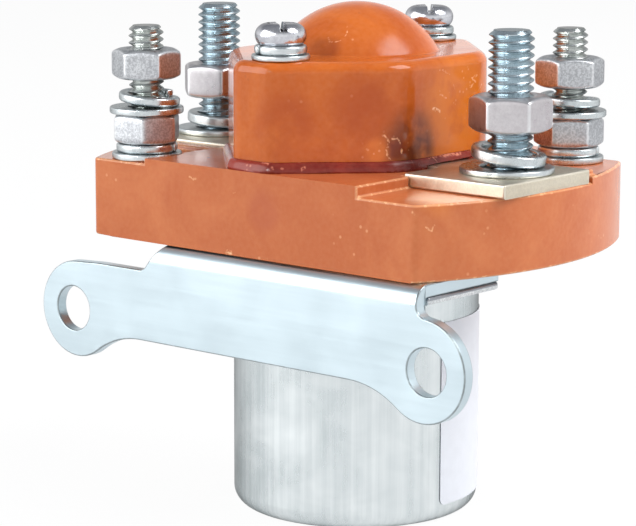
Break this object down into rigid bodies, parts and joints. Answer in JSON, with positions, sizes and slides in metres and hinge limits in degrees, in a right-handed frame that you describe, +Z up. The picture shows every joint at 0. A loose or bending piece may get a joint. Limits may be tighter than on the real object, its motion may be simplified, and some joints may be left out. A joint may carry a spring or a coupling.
{
  "type": "dc contactor",
  "caption": "Small dc contactor: orange moulded base and domed cover, main and coil studs with nuts, steel can with the magnet below, bent steel mounting bracket.",
  "frame": {"origin": "centre of the can's flat bottom, on the can's axis", "axes": "+Z up along the can's axis towards the cover, -Y out of the bracket's mounting face, +X along the bracket towards the right-hand ear"},
  "size_m": [0.0986, 0.0621, 0.0922],
  "materials": {
    "can_steel": "pale grey plating with faint drawing streaks",
    "bracket_steel": "bright zinc plating, satin",
    "label_film": "white printed film, left bare",
    "soft_iron": "machined",
    "bobbin_plastic": "moulded",
    "copper_wire": "enamelled wire",
    "lead_sleeve": "smooth sleeve",
    "base_plastic": "moulded, slightly glossy",
    "cover_plastic": "moulded, glossy",
    "sealant": "cured bead, glossy",
    "terminal_tin": "warm tin plating",
    "silver": "contact silver",
    "bridge_copper": "rolled copper",
    "stud_zinc": "bluish zinc plating",
    "nut_zinc": "bright zinc plating",
    "washer_zinc": "bright zinc plating",
    "spring_steel": "plated spring wire",
    "brass": "turned brass",
    "fibre": "pressed fibre",
    "clip_steel": "oiled spring steel"
  },
  "bodies": {
    "housing": {"can": "can_steel", "flux_plate": "bracket_steel", "can_label": "label_film", "pole_piece": "soft_iron", "coil_bobbin": "bobbin_plastic", "coil_winding": "copper_wire", "coil_leads": "lead_sleeve", "guide_bush": "brass", "stop_washer": "fibre", "return_spring": "spring_steel", "mounting_bracket": "bracket_steel", "bracket_screws": "washer_zinc", "base": "base_plastic", "screw_inserts": "brass", "sealant_bead": "sealant", "cover": "cover_plastic", "terminal_plate_right": "terminal_tin", "terminal_plate_left": "terminal_tin", "fixed_contacts": "silver", "main_stud_right": "stud_zinc", "main_stud_left": "stud_zinc", "main_flat_washers": "washer_zinc", "main_spring_washers": "washer_zinc", "main_nuts": "nut_zinc", "coil_stud_front": "stud_zinc", "coil_stud_back": "stud_zinc", "lower_flat_washers": "washer_zinc", "lower_spring_washers": "washer_zinc", "lower_nuts": "nut_zinc", "upper_flat_washers": "washer_zinc", "upper_spring_washers": "washer_zinc", "upper_nuts": "nut_zinc", "cover_screws": "nut_zinc", "cover_spring_washers": "washer_zinc", "cover_flat_washers": "washer_zinc"},
    "plunger_set": {"plunger": "soft_iron", "plunger_rod": "brass", "spring_seat": "washer_zinc", "rod_clips": "clip_steel", "contact_spring": "spring_steel"},
    "bridge_set": {"contact_bridge": "bridge_copper", "moving_contacts": "silver"}
  },
  "joints": [
    {"name": "plunger_slide", "type": "slide", "parent": "housing", "child": "plunger_set", "axis": [0, 0, -1], "range_m": [0, 0.003], "stiffness_N_per_m": 1500, "springref_m": -0.005, "deforming": ["return_spring"]},
    {"name": "bridge_slide", "type": "slide", "parent": "plunger_set", "child": "bridge_set", "axis": [0, 0, 1], "range_m": [0, 0.00061], "deforming": ["contact_spring"]}
  ],
  "couplings": [
    {"joint": "bridge_slide", "follows": "plunger_slide", "ratio": 0.2}
  ]
}
